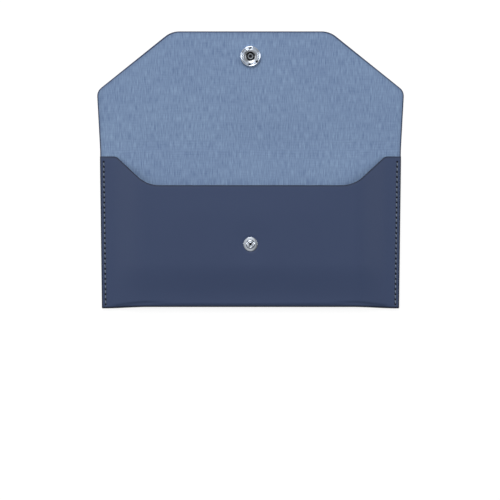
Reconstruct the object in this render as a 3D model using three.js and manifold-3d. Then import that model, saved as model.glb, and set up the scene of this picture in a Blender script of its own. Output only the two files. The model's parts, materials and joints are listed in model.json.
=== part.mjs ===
// A cash envelope wallet, lying open on its back.
//
// One sheet of smooth PU leather, lined all over, makes the back, the bottom fold, the front panel
// and the flap. Two sewn side seams close the pocket, and a ring snap holds the flap shut.
// X runs across the wallet, Y from the bottom fold to the flap's tip, Z out of the table.
// Heights along Y are measured from the middle of the crease until the last lines, which put the
// origin in the middle of the open wallet's footprint, on the table.

import * as THREE from 'three';
import { mergeVertices } from 'three/addons/utils/BufferGeometryUtils.js';
import Module from 'manifold-3d';

// Driving dimensions, in millimetres and degrees

// Sheets
const SKIN = 0.7;
const BOND = 0.05;
const LINING = 0.45;
const LINING_INSET = 0.6;
const GLUE_LINE = 0.2;

// Outline of the open wallet
const POCKET_DEPTH = 90.3;
const POCKET_HALF_WIDTH = 84.6;
const CREASE_FLARE = 1.2;
const FLAP_FLARE = 1.7;
const FLAP_SHOULDER = 33.5;
const FLAP_REACH = 67.5;
const TIP_CORNER_CUT = 42.5;
const BOTTOM_CORNER_RADIUS = 1;
const FLAP_SIDE_RADIUS = 6;
const FLAP_TIP_RADIUS = 13;

// Mouth of the pocket
const MOUTH_BELOW_CREASE = 3.7;
const SCOOP_DEPTH = 16.3;
const MOUTH_SHOULDER = 9.35;
const SCOOP_SLANT = 17.8;
const SCOOP_TOP_RADIUS = 4;
const SCOOP_BOTTOM_RADIUS = 18;
const MOUTH_CORNER_RADIUS = 1.2;

// Room inside the pocket
const POCKET_ROOM = 5;
const CROWN_FALL = 24;
const SEAM_STRIP = 2.6;
const FOLD_STRAIGHT = 0.7;
const CROWN_STEPS = 7;
const FOLD_STEPS = 10;

// Side seams
const SEAM_INSET = 2.2;
const STITCH_PITCH = 2.9;
const SEAM_START = 3.1;
const SEAM_END = 2.2;
const THREAD = 0.5;
const THREAD_RISE = 0.32;
const HOLE_PLAY = 0.15;
const THREAD_GAP = 0.1;
const STITCH_SLOPE = 0.7;

// Crease
const HINGE_PLAY = 0.3;
const SHOULDER_PLAY = 0.3;
const CLOSED_RISE = 2;
const LAYOUT_ROUNDS = 8;

// Ring snap
const STUD_BELOW_CREASE = 53.4;
const STUD_FLANGE_RADIUS = 4;
const STUD_FLANGE = 0.25;
const NUB_RADIUS = 2.45;
const NUB_NECK = 0.3;
const NUB_HEIGHT = 1.1;
const NUB_EDGE = 0.4;
const RIVET_FLANGE_RADIUS = 4.2;
const RIVET_FLANGE = 0.4;
const POST_RADIUS = 1.25;
const POST_BORE_RADIUS = 0.75;
const POST_PLAY = 0.1;
const POST_RIM = 0.1;
const POST_RIM_RADIUS = 1.9;
const CAP_RADIUS = 6;
const CAP_HEIGHT = 1.8;
const CAP_EDGE = 0.6;
const CAP_BEVEL = 0.2;
const SOCKET_RADIUS = 5.8;
const SOCKET_HEIGHT = 1.5;
const SOCKET_BASE = 0.25;
const SOCKET_STEP_RADIUS = 4.1;
const SOCKET_STEP = 0.35;
const SOCKET_EDGE = 0.4;
const NUB_PLAY = 0.3;
const SNAP_PLAY = 0.3;
const SPRING_WIRE = 0.4;
const SPRING_OPENING = 50;
const SPRING_PLAY = 0.1;
const ROUND_SIDES = 28;
const CORNER_STEPS = 6;

// What follows from them

const SHEET = SKIN + BOND + LINING;
const CROWN_TOP = 2 * SHEET + POCKET_ROOM;
const SEAM_TOP = 2 * SHEET + GLUE_LINE;
const BEYOND = 5;

// Half widths, from the bottom of the pocket outwards, and inwards again to what lies on them
const CREASE_HALF_WIDTH = POCKET_HALF_WIDTH + CREASE_FLARE;
const FLAP_HALF_WIDTH = CREASE_HALF_WIDTH + FLAP_FLARE;
const TIP_HALF_WIDTH = FLAP_HALF_WIDTH - TIP_CORNER_CUT;
const SCOOP_TOP_HALF_WIDTH = halfWidthAt(-MOUTH_BELOW_CREASE) - MOUTH_SHOULDER;
const SCOOP_BOTTOM_HALF_WIDTH = SCOOP_TOP_HALF_WIDTH - SCOOP_SLANT;
const SEAM_FLAT = POCKET_HALF_WIDTH - SEAM_STRIP;
const CROWN_HALF_WIDTH = SEAM_FLAT - CROWN_FALL;

// The sheet that goes round the bottom is as long everywhere, so where the pocket is fuller its
// bottom edge is drawn up. The fold ends at one straight line, above its fullest stretch.
const FOLD_BOW = (Math.PI - 2) / 2;
const CROWN_FOLD_END = -POCKET_DEPTH + FOLD_BOW * (CROWN_TOP - SEAM_TOP) / 2;
const FOLD_LINE = CROWN_FOLD_END + CROWN_TOP / 2 + FOLD_STRAIGHT;

// The crease bends at two lines, by equal angles, until the socket sits over the stud. The closed
// flap rises a little towards the snap. The open flap rests on its cap, so it starts a little raised.
const SOCKET_RIM_CLOSED = CROWN_TOP + STUD_FLANGE + SNAP_PLAY;
const FIRST_HINGE = -MOUTH_BELOW_CREASE + SHOULDER_PLAY;
const { hingeStep, flapTilt, socketReach } = creaseLayout();
const LAST_HINGE = FIRST_HINGE + hingeStep;

// The distance between the two bend lines and the socket's distance from the last one, along the
// flap's lining. The flap's tilt depends on where the cap sits, and the cap's place on the tilt, so
// both are worked out in a few rounds.
function creaseLayout() {
  const rise = THREE.MathUtils.degToRad(CLOSED_RISE);
  let tilt = 0;
  let layout;
  for (let round = 0; round < LAYOUT_ROUNDS; round += 1) {
    const bend = (Math.PI - rise - tilt) / 2;
    const fromFirst = FIRST_HINGE + STUD_BELOW_CREASE - SOCKET_HEIGHT * Math.sin(rise);
    const climb = SOCKET_RIM_CLOSED + SOCKET_HEIGHT * Math.cos(rise) - SHEET;
    const climbPerStep = Math.sin(bend) + Math.cos(bend) * Math.tan(rise);
    const hingeStep = (climb - fromFirst * Math.tan(rise)) / climbPerStep;
    const socketReach = (fromFirst + hingeStep * Math.cos(bend)) / Math.cos(rise);
    layout = { hingeStep, flapTilt: tilt, socketReach };
    tilt = Math.atan(CAP_HEIGHT / (socketReach - CAP_RADIUS + CAP_EDGE));
  }
  return layout;
}

// Solids

const wasm = await Module();
wasm.setup();

function toSolid(geometry) {
  const bare = geometry.clone();
  bare.deleteAttribute('normal');
  bare.deleteAttribute('uv');
  const merged = mergeVertices(bare, 1e-4);
  const corners = merged.index.array;
  const kept = [];
  for (let i = 0; i < corners.length; i += 3) {
    const [a, b, c] = [corners[i], corners[i + 1], corners[i + 2]];
    if (a !== b && b !== c && c !== a) kept.push(a, b, c);
  }
  const vertProperties = new Float32Array(merged.attributes.position.array);
  return new wasm.Manifold(new wasm.Mesh({ numProp: 3, vertProperties, triVerts: new Uint32Array(kept) }));
}

function toGeometry(solid) {
  const { vertProperties, triVerts } = solid.getMesh();
  const geometry = new THREE.BufferGeometry();
  geometry.setAttribute('position', new THREE.BufferAttribute(vertProperties, 3));
  geometry.setIndex(new THREE.BufferAttribute(triVerts, 1));
  geometry.computeVertexNormals();
  return geometry;
}

// An outline pushed straight up from one height to another.
function prism(shape, low, high) {
  const geometry = new THREE.ExtrudeGeometry(shape, {
    depth: high - low, bevelEnabled: false, curveSegments: CORNER_STEPS,
  });
  return toSolid(geometry.translate(0, 0, low));
}

function box(xLow, xHigh, yLow, yHigh, zLow, zHigh) {
  const geometry = new THREE.BoxGeometry(xHigh - xLow, yHigh - yLow, zHigh - zLow);
  geometry.translate((xLow + xHigh) / 2, (yLow + yHigh) / 2, (zLow + zHigh) / 2);
  return toSolid(geometry);
}

// A profile of [radius, height] points turned round the Z axis.
function turned(profile) {
  const points = profile.map(([radius, height]) => new THREE.Vector2(radius, height));
  const geometry = new THREE.LatheGeometry(points, ROUND_SIDES);
  return toSolid(geometry.rotateX(Math.PI / 2));
}

// Outlines

// A closed outline through corners { x, y, r }, each rounded to its own radius r.
function roundedOutline(corners) {
  const shape = new THREE.Shape();
  corners.forEach(({ x, y, r }, i) => {
    const here = new THREE.Vector2(x, y);
    const back = towards(here, corners.at(i - 1));
    const on = towards(here, corners[(i + 1) % corners.length]);
    const half = Math.acos(back.dot(on)) / 2;
    const start = here.clone().addScaledVector(back, r / Math.tan(half));
    if (i === 0) shape.moveTo(start.x, start.y);
    else shape.lineTo(start.x, start.y);
    if (r === 0) return;
    const middle = back.clone().add(on).normalize();
    const centre = here.clone().addScaledVector(middle, r / Math.sin(half));
    const end = here.clone().addScaledVector(on, r / Math.tan(half));
    const from = Math.atan2(start.y - centre.y, start.x - centre.x);
    const to = Math.atan2(end.y - centre.y, end.x - centre.x);
    shape.absarc(centre.x, centre.y, r, from, to, back.cross(on) > 0);
  });
  shape.closePath();
  return shape;
}

function towards(from, to) {
  return new THREE.Vector2(to.x - from.x, to.y - from.y).normalize();
}

// The same corners, with every side moved inwards. The corners run anticlockwise.
function insetCorners(corners, distance) {
  return corners.map(({ x, y, r }, i) => {
    const here = new THREE.Vector2(x, y);
    const back = towards(here, corners.at(i - 1));
    const on = towards(here, corners[(i + 1) % corners.length]);
    const inward = new THREE.Vector2(back.y, -back.x).add(new THREE.Vector2(-on.y, on.x)).normalize();
    const hollow = back.cross(on) > 0;
    const slant = Math.abs(inward.cross(on));
    return {
      x: x + inward.x * distance / slant,
      y: y + inward.y * distance / slant,
      r: r === 0 ? 0 : Math.max(r + (hollow ? distance : -distance), 0.1),
    };
  });
}

// Both sides of the wallet from the corners of its right side, given from bottom to top.
function mirrored(rightSide) {
  const leftSide = rightSide.map((corner) => ({ ...corner, x: -corner.x })).reverse();
  return [...rightSide, ...leftSide];
}

// The whole sheet, open: the pocket's back, the crease and the flap.
const SHEET_CORNERS = mirrored([
  { x: POCKET_HALF_WIDTH, y: -POCKET_DEPTH, r: BOTTOM_CORNER_RADIUS },
  { x: CREASE_HALF_WIDTH, y: 0, r: 0 },
  { x: FLAP_HALF_WIDTH, y: FLAP_SHOULDER, r: FLAP_SIDE_RADIUS },
  { x: TIP_HALF_WIDTH, y: FLAP_REACH, r: FLAP_TIP_RADIUS },
]);

// The front panel, with the wide thumb scoop in its mouth.
const FRONT_CORNERS = mirrored([
  { x: POCKET_HALF_WIDTH, y: -POCKET_DEPTH, r: 0 },
  { x: halfWidthAt(-MOUTH_BELOW_CREASE), y: -MOUTH_BELOW_CREASE, r: MOUTH_CORNER_RADIUS },
  { x: SCOOP_TOP_HALF_WIDTH, y: -MOUTH_BELOW_CREASE, r: SCOOP_TOP_RADIUS },
  { x: SCOOP_BOTTOM_HALF_WIDTH, y: -MOUTH_BELOW_CREASE - SCOOP_DEPTH, r: SCOOP_BOTTOM_RADIUS },
]);

// Half the pocket's width at a height below the crease.
function halfWidthAt(y) {
  return CREASE_HALF_WIDTH + (CREASE_HALF_WIDTH - POCKET_HALF_WIDTH) * y / POCKET_DEPTH;
}

// Shape of the filled pocket

// Height of the front panel's outer face: flat in the middle, falling in a soft S to the seams.
function frontFace(x) {
  const across = THREE.MathUtils.smoothstep(Math.abs(x), CROWN_HALF_WIDTH, SEAM_FLAT);
  return CROWN_TOP + (SEAM_TOP - CROWN_TOP) * across;
}

// Places across the wallet where the face's height is worked out, from left to right.
function crownStations() {
  const right = Array.from({ length: CROWN_STEPS + 1 }, (_, i) => (
    CROWN_HALF_WIDTH + (SEAM_FLAT - CROWN_HALF_WIDTH) * i / CROWN_STEPS
  ));
  right.push(POCKET_HALF_WIDTH + BEYOND);
  return [...right.map((x) => -x).reverse(), ...right];
}

// A layer of the front panel, between two depths under its outer face, cut to the panel's outline.
function frontLayer(depth, thickness, corners) {
  const face = crownStations();
  const section = [
    ...face.map((x) => new THREE.Vector2(x, frontFace(x) - depth - thickness)),
    ...face.reverse().map((x) => new THREE.Vector2(x, frontFace(x) - depth)),
  ];
  const geometry = new THREE.ExtrudeGeometry(new THREE.Shape(section), {
    depth: -MOUTH_BELOW_CREASE - FOLD_LINE, bevelEnabled: false,
  });
  geometry.rotateX(Math.PI / 2).translate(0, -MOUTH_BELOW_CREASE, 0);
  return toSolid(geometry).intersect(prism(roundedOutline(corners), -BEYOND, CROWN_TOP + BEYOND));
}

// Half the section of the bottom fold at a place across the wallet, at a depth under its outer
// face: along the back, half way round, and along the front.
function foldLine(x, depth) {
  const radius = frontFace(x) / 2;
  const centre = -POCKET_DEPTH + FOLD_BOW * (radius - SEAM_TOP / 2) + radius;
  const turn = Array.from({ length: FOLD_STEPS + 1 }, (_, i) => {
    const angle = Math.PI * i / FOLD_STEPS;
    return [centre - (radius - depth) * Math.sin(angle), radius - (radius - depth) * Math.cos(angle)];
  });
  return [[FOLD_LINE, depth], ...turn, [FOLD_LINE, 2 * radius - depth]];
}

// A layer of the bottom fold, between two depths under its outer face.
function foldLayer(depth, thickness, corners) {
  const positions = [];
  const index = [];
  const stations = crownStations();
  const rows = stations.map((x) => [...foldLine(x, depth), ...foldLine(x, depth + thickness).reverse()]);
  rows.forEach((row, i) => row.forEach(([y, z]) => positions.push(stations[i], y, z)));
  const around = rows[0].length;
  for (let i = 0; i + 1 < rows.length; i += 1) {
    for (let j = 0; j < around; j += 1) {
      const [a, b] = [i * around + j, i * around + (j + 1) % around];
      index.push(a, b + around, b, a, a + around, b + around);
    }
  }
  const last = (rows.length - 1) * around;
  for (let j = 0; j < around / 2 - 1; j += 1) {
    const [a, b, c, d] = [j, j + 1, around - 2 - j, around - 1 - j];
    index.push(a, c, d, a, b, c);
    index.push(last + a, last + d, last + c, last + a, last + c, last + b);
  }
  const geometry = new THREE.BufferGeometry();
  geometry.setAttribute('position', new THREE.Float32BufferAttribute(positions, 3));
  geometry.setIndex(index);
  return toSolid(geometry).intersect(prism(roundedOutline(corners), -BEYOND, CROWN_TOP + BEYOND));
}

// Flat layers

// A stretch of the open sheet between two heights along Y, from one height above the table to another.
function sheetStretch(corners, yLow, yHigh, zLow, zHigh) {
  const reach = FLAP_HALF_WIDTH + BEYOND;
  const band = box(-reach, reach, yLow, yHigh, zLow - BEYOND, zHigh + BEYOND);
  return prism(roundedOutline(corners), zLow, zHigh).intersect(band);
}

const LINING_CORNERS = insetCorners(SHEET_CORNERS, LINING_INSET);
const LINING_FRONT_CORNERS = insetCorners(FRONT_CORNERS, LINING_INSET);
const LINING_LOW = SKIN + BOND;

// Side seams

// The line of a seam, from its first hole down, on the right (side 1) or the left (side -1).
function seamLine(side) {
  const first = -MOUTH_BELOW_CREASE - SEAM_START;
  const start = new THREE.Vector2(side * (halfWidthAt(first) - SEAM_INSET), first);
  const end = new THREE.Vector2(side * (POCKET_HALF_WIDTH - SEAM_INSET), -POCKET_DEPTH + SEAM_END);
  return { start, along: towards(start, end), stitches: Math.floor(start.distanceTo(end) / STITCH_PITCH) };
}

// Every hole of both seams, as one solid to cut away.
function stitchHoles() {
  const width = THREAD + 2 * HOLE_PLAY;
  let holes = null;
  for (const side of [-1, 1]) {
    const { start, along, stitches } = seamLine(side);
    const turn = Math.atan2(along.y, along.x);
    for (let i = 0; i <= stitches; i += 1) {
      const at = start.clone().addScaledVector(along, i * STITCH_PITCH);
      const hole = new THREE.BoxGeometry(width, width, SEAM_TOP + 2 * BEYOND);
      const cut = toSolid(hole.rotateZ(turn).translate(at.x, at.y, SEAM_TOP / 2));
      holes = holes ? holes.add(cut) : cut;
    }
  }
  return holes;
}

// The shallow channel along the back of each seam, which keeps the bobbin thread off the table.
function bobbinChannels() {
  const width = THREAD + 2 * HOLE_PLAY;
  let channels = null;
  for (const side of [-1, 1]) {
    const { start, along, stitches } = seamLine(side);
    const length = stitches * STITCH_PITCH + width;
    const deep = THREAD_RISE + THREAD_GAP;
    const channel = new THREE.BoxGeometry(length, width, 2 * deep);
    channel.translate((length - width) / 2, 0, 0).rotateZ(Math.atan2(along.y, along.x));
    const cut = toSolid(channel.translate(start.x, start.y, 0));
    channels = channels ? channels.add(cut) : cut;
  }
  return channels;
}

// One thread of a seam, seen from the side: a low arch over each stitch, and a leg down each hole.
function threadShape(stitches, legLength) {
  const shape = new THREE.Shape();
  const half = THREAD / 2;
  const length = stitches * STITCH_PITCH;
  shape.moveTo(-half, -legLength);
  for (let i = 0; i <= stitches; i += 1) {
    const at = i * STITCH_PITCH;
    if (i > 0) {
      shape.lineTo(at - half, 0);
      shape.lineTo(at - half, -legLength);
    }
    shape.lineTo(at + half, -legLength);
    shape.lineTo(at + half, 0);
  }
  shape.lineTo(length + half, THREAD_RISE / 2);
  for (let i = stitches - 1; i >= 0; i -= 1) {
    const at = i * STITCH_PITCH;
    shape.lineTo(at + STITCH_PITCH - STITCH_SLOPE, THREAD_RISE);
    shape.lineTo(at + STITCH_SLOPE, THREAD_RISE);
    if (i > 0) shape.lineTo(at, THREAD_RISE / 2);
  }
  shape.lineTo(-half, THREAD_RISE / 2);
  shape.closePath();
  return shape;
}

// A thread laid along its seam. Its legs point away from the face it is on: down from the front
// (facing 1), up from the back (facing -1).
function seamThread(side, facing) {
  const { start, along, stitches } = seamLine(side);
  const legLength = SEAM_TOP / 2 - THREAD_GAP;
  const onFace = facing > 0 ? legLength : legLength - THREAD_RISE;
  const outline = threadShape(stitches, onFace);
  const geometry = new THREE.ExtrudeGeometry(outline, { depth: THREAD, bevelEnabled: false });
  geometry.translate(0, 0, -THREAD / 2);
  const run = new THREE.Vector3(along.x, along.y, 0);
  const up = new THREE.Vector3(0, 0, facing);
  const turn = new THREE.Matrix4().makeBasis(run, up, run.clone().cross(up));
  const place = new THREE.Vector3(start.x, start.y, facing > 0 ? SEAM_TOP : THREAD_RISE);
  return { geometry: toGeometry(toSolid(geometry)), turn, place };
}

// Ring snap

// A hole for a post through everything, at a height along Y.
function postHole(y) {
  const radius = POST_RADIUS + POST_PLAY;
  const low = -BEYOND;
  const high = CROWN_TOP + BEYOND;
  const hole = turned([[0, low], [radius, low], [radius, high], [0, high]]);
  return hole.translate([0, y, 0]);
}

// The stud: a thin flange on the leather and a nub with a waist, open along the middle.
function studSolid() {
  const bore = POST_RADIUS + POST_PLAY;
  const top = STUD_FLANGE + NUB_HEIGHT;
  const waist = STUD_FLANGE + NUB_EDGE;
  const shoulder = top - NUB_EDGE;
  return turned([
    [bore, 0], [STUD_FLANGE_RADIUS, 0], [STUD_FLANGE_RADIUS, STUD_FLANGE],
    [NUB_RADIUS, STUD_FLANGE], [NUB_RADIUS - NUB_NECK, waist], [NUB_RADIUS, shoulder],
    [NUB_RADIUS - NUB_NECK, top], [bore, top], [bore, 0],
  ]);
}

// The rivet: a flange inside the pocket and a hollow post up through the leather into the stud.
function rivetSolid() {
  const top = RIVET_FLANGE + SHEET + STUD_FLANGE + NUB_HEIGHT - SNAP_PLAY / 2;
  return turned([
    [0, 0], [RIVET_FLANGE_RADIUS, 0], [RIVET_FLANGE_RADIUS, RIVET_FLANGE], [POST_RADIUS, RIVET_FLANGE],
    [POST_RADIUS, top], [POST_BORE_RADIUS, top], [POST_BORE_RADIUS, RIVET_FLANGE], [0, RIVET_FLANGE],
  ]);
}

// The cap: a low round head with a softened rim, and a post with a small rolled rim at its end.
// Height 0 is the leather's outer face, and the head lies below it.
function capSolid() {
  const base = SHEET + SOCKET_BASE;
  const post = POST_RADIUS;
  return turned([
    [0, -CAP_HEIGHT], [CAP_RADIUS - CAP_EDGE, -CAP_HEIGHT],
    [CAP_RADIUS - CAP_BEVEL, -CAP_HEIGHT + CAP_BEVEL],
    [CAP_RADIUS, -CAP_HEIGHT + CAP_EDGE], [CAP_RADIUS, 0], [post, 0], [post, base + POST_PLAY],
    [POST_RIM_RADIUS, base + POST_PLAY], [post, base + POST_PLAY + POST_RIM],
    [POST_BORE_RADIUS, base + POST_PLAY + POST_RIM], [POST_BORE_RADIUS, base], [0, base],
  ]);
}

// The socket: a base on the lining, and a stepped ring round the hole that takes the nub. A groove
// inside the ring holds the spring. Height 0 is the lining's face.
function socketSolid() {
  const bore = POST_RADIUS + POST_PLAY;
  const mouth = NUB_RADIUS + NUB_PLAY;
  const groove = mouth + SPRING_WIRE + 2 * SPRING_PLAY;
  const grooveTop = SOCKET_HEIGHT - SOCKET_STEP;
  return turned([
    [bore, 0], [SOCKET_RADIUS, 0], [SOCKET_RADIUS, SOCKET_HEIGHT - SOCKET_EDGE],
    [SOCKET_RADIUS - SOCKET_EDGE, SOCKET_HEIGHT], [SOCKET_STEP_RADIUS + SOCKET_EDGE, SOCKET_HEIGHT],
    [SOCKET_STEP_RADIUS, SOCKET_HEIGHT - SOCKET_STEP / 2], [mouth, SOCKET_HEIGHT - SOCKET_STEP / 2],
    [mouth, grooveTop], [groove, grooveTop], [groove, SOCKET_BASE], [bore, SOCKET_BASE], [bore, 0],
  ]);
}

// The spring: an open loop of wire in the socket's groove, clear of the nub.
function springSolid() {
  const wire = SPRING_WIRE / 2;
  const radius = NUB_RADIUS + NUB_PLAY + SPRING_PLAY + wire;
  const height = SOCKET_BASE + SPRING_PLAY + wire;
  const opening = THREE.MathUtils.degToRad(SPRING_OPENING);
  const start = (Math.PI + opening) / 2;
  const loop = new THREE.EllipseCurve(0, 0, radius, radius, start, start + 2 * Math.PI - opening);
  const path = new THREE.CatmullRomCurve3(
    loop.getPoints(ROUND_SIDES / 2).map((point) => new THREE.Vector3(point.x, point.y, height)),
  );
  const section = new THREE.Shape();
  section.absarc(0, 0, wire, 0, 2 * Math.PI);
  return toSolid(new THREE.ExtrudeGeometry(section, {
    steps: ROUND_SIDES, curveSegments: CORNER_STEPS, extrudePath: path,
  }));
}

// Finishes

const leather = { color: 0x3f4a63, roughness: 0.5, metalness: 0 };
const lining = { color: 0x7088ac, roughness: 0.85, metalness: 0 };
const thread = { color: 0x2b3550, roughness: 0.7, metalness: 0 };
const chrome = { color: 0xc9ccd1, roughness: 0.15, metalness: 1 };
const springSteel = { color: 0x8f9296, roughness: 0.35, metalness: 1 };

function piece(name, solid, finish) {
  const mesh = new THREE.Mesh(toGeometry(solid), new THREE.MeshStandardMaterial(finish));
  mesh.name = name;
  return mesh;
}

// The pocket

function pocket() {
  const group = new THREE.Group();
  const holes = stitchHoles();
  const studHole = postHole(-STUD_BELOW_CREASE);
  const backEnd = FIRST_HINGE - HINGE_PLAY / 2;
  const back = sheetStretch(SHEET_CORNERS, FOLD_LINE, backEnd, 0, SKIN);
  const backLining = sheetStretch(LINING_CORNERS, FOLD_LINE, backEnd, LINING_LOW, SHEET);
  const front = frontLayer(0, SKIN, FRONT_CORNERS);
  const frontLining = frontLayer(LINING_LOW, LINING, LINING_FRONT_CORNERS);
  const fold = foldLayer(0, SKIN, SHEET_CORNERS);
  const foldLining = foldLayer(LINING_LOW, LINING, LINING_CORNERS);
  const channels = bobbinChannels();
  group.add(
    piece('back_panel', back.subtract(holes).subtract(channels), leather),
    piece('back_lining', backLining.subtract(holes), lining),
    piece('bottom_fold', fold.subtract(holes).subtract(channels), leather),
    piece('bottom_fold_lining', foldLining.subtract(holes), lining),
    piece('front_panel', front.subtract(holes).subtract(studHole), leather),
    piece('front_lining', frontLining.subtract(holes).subtract(studHole), lining),
  );
  return group;
}

function seams() {
  const group = new THREE.Group();
  for (const [sideName, side] of [['left', -1], ['right', 1]]) {
    for (const [threadName, facing] of [['needle', 1], ['bobbin', -1]]) {
      const { geometry, turn, place } = seamThread(side, facing);
      const mesh = new THREE.Mesh(geometry, new THREE.MeshStandardMaterial(thread));
      mesh.name = `${sideName}_${threadName}_thread`;
      mesh.setRotationFromMatrix(turn);
      mesh.position.copy(place);
      group.add(mesh);
    }
  }
  return group;
}

function studAndRivet() {
  const group = new THREE.Group();
  const stud = piece('snap_stud', studSolid(), chrome);
  stud.position.set(0, -STUD_BELOW_CREASE, CROWN_TOP);
  const rivet = piece('stud_rivet', rivetSolid(), chrome);
  rivet.position.set(0, -STUD_BELOW_CREASE, CROWN_TOP - SHEET - RIVET_FLANGE);
  group.add(stud, rivet);
  return group;
}

// The crease and the flap

function creaseStrip() {
  const group = new THREE.Group();
  const low = FIRST_HINGE + HINGE_PLAY / 2;
  const high = LAST_HINGE - HINGE_PLAY / 2;
  group.add(
    piece('crease_strip', sheetStretch(SHEET_CORNERS, low, high, 0, SKIN), leather),
    piece('crease_strip_lining', sheetStretch(LINING_CORNERS, low, high, LINING_LOW, SHEET), lining),
  );
  return group;
}

// The flap turns about the crease's last line, on the lining's face, so that it lies on its cap.
function flap() {
  const group = new THREE.Group();
  const start = LAST_HINGE + HINGE_PLAY / 2;
  const socketAt = LAST_HINGE + socketReach;
  const hole = postHole(socketAt);
  const skin = sheetStretch(SHEET_CORNERS, start, FLAP_REACH + BEYOND, 0, SKIN);
  const backing = sheetStretch(LINING_CORNERS, start, FLAP_REACH + BEYOND, LINING_LOW, SHEET);
  const cap = piece('snap_cap', capSolid(), chrome);
  const socket = piece('snap_socket', socketSolid(), chrome);
  const spring = piece('socket_spring', springSolid(), springSteel);
  cap.position.set(0, socketAt, 0);
  socket.position.set(0, socketAt, SHEET);
  spring.position.set(0, socketAt, SHEET);
  const hinged = new THREE.Group();
  hinged.position.set(0, -LAST_HINGE, -SHEET);
  hinged.add(
    piece('flap_panel', skin.subtract(hole), leather),
    piece('flap_lining', backing.subtract(hole), lining),
    cap, socket, spring,
  );
  group.position.set(0, LAST_HINGE, SHEET);
  group.rotation.x = flapTilt;
  group.add(hinged);
  return group;
}

const wallet = new THREE.Group();
wallet.add(pocket(), seams(), studAndRivet(), creaseStrip(), flap());
wallet.position.y = (POCKET_DEPTH - FLAP_REACH) / 2;

export default wallet;
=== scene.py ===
import json
import math

import bpy
import numpy as np
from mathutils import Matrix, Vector


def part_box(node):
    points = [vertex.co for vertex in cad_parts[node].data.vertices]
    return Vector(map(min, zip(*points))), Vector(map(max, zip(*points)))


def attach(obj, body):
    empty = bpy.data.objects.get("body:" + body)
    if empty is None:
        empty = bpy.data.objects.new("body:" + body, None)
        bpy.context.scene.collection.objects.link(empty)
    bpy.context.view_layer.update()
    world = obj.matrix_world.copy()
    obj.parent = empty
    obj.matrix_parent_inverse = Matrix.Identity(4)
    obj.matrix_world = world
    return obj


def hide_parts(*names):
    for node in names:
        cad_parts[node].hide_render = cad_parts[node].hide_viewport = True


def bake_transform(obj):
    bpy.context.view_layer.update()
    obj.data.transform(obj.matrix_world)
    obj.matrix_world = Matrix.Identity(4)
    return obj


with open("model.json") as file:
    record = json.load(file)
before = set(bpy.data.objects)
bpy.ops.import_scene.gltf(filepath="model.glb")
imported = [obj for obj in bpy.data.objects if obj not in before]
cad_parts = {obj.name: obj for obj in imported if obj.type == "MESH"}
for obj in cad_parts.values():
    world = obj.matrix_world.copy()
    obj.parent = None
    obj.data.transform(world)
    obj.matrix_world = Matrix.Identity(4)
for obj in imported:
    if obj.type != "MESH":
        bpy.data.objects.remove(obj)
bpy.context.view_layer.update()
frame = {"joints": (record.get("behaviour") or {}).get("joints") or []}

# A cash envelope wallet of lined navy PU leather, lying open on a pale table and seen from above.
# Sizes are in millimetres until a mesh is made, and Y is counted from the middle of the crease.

# The sheet
SKIN = 0.7
BOND = 0.05
LINING = 0.45
LINING_INSET = 0.6
GLUE_LINE = 0.2
SHEET = SKIN + BOND + LINING
SKIN_MIDDLE = SKIN / 2
LINING_MIDDLE = SKIN + BOND + LINING / 2

# The open outline, on its right side
POCKET_DEPTH = 90.3
POCKET_HALF_WIDTH = 84.6
CREASE_HALF_WIDTH = 85.8
FLAP_HALF_WIDTH = 87.5
FLAP_SHOULDER = 33.5
FLAP_REACH = 67.5
TIP_HALF_WIDTH = 45.0
FLAP_SIDE_RADIUS = 6.0
FLAP_TIP_RADIUS = 13.0

# The pocket's mouth
MOUTH = -3.7
SCOOP_DEPTH = 16.3
SCOOP_TOP_HALF_WIDTH = 76.4
SCOOP_BOTTOM_HALF_WIDTH = 58.6
SCOOP_TOP_RADIUS = 4.0
SCOOP_BOTTOM_RADIUS = 18.0

# The filled pocket
POCKET_ROOM = 5.0
CROWN_HALF_WIDTH = 58.0
SEAM_STRIP = 2.6
CROWN_TOP = 2 * SHEET + POCKET_ROOM
SEAM_TOP = 2 * SHEET + GLUE_LINE
SEAM_FLAT = POCKET_HALF_WIDTH - SEAM_STRIP
FLAT_END = -POCKET_DEPTH + SEAM_TOP / 2
FOLD_BOW = (math.pi - 2) / 2
FOLD_TOP = 5.8
FOLD_TAPER = (-86.0, -64.0)
SKIVE = 0.16
PILLOW = 0.3
STUD_GROOVE_DEPTH = 0.22
STUD_GROOVE_SPREAD = 0.6
PINCH_DEPTH = 0.6
PINCH_BELOW = 0.45
PINCH_SPREAD = 0.95

# The seams
SEAM_INSET = 2.2
STITCH_PITCH = 2.9
SEAM_START = 3.1
SEAM_END = 2.2
THREAD_RADIUS = 0.24
THREAD_PLIES = 3
THREAD_LAY = 1.3
PLY_LOBE = 0.16
HOLE_SPREAD = (0.5, 0.74)
HOLE_DEPTH = 0.6
LINE_SPREAD = 0.5
LINE_DEPTH = 0.12
SWELLING = 0.03
STITCH_SLANT = 0.2
CHANNEL_DEPTH = 0.42
THREAD_RISE = 0.08
THREAD_DROP = 0.95

# The back follows the crease's bend from this far below the mouth's shoulders, and each of the
# crease's two bends reaches this far to either side of its hinge line
CREASE_RUN = 0.6
RIPPLE_HEIGHT = 0.04
RIPPLE_SPACING = 1.55

# The snap
STUD_BELOW_CREASE = 53.4
STUD_FLANGE_RADIUS = 4.0
STUD_FLANGE = 0.25
NUB_RADIUS = 2.45
NUB_HEIGHT = 1.1
POST_RADIUS = 1.25
POST_BORE_RADIUS = 0.75
RIVET_FLANGE_RADIUS = 4.2
RIVET_FLANGE = 0.4
CAP_RADIUS = 6.0
CAP_HEIGHT = 1.8
SOCKET_RADIUS = 5.8
SOCKET_HEIGHT = 1.5
SOCKET_BASE = 0.25
SOCKET_MOUTH_RADIUS = 2.75
SPRING_WIRE = 0.4

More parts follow.
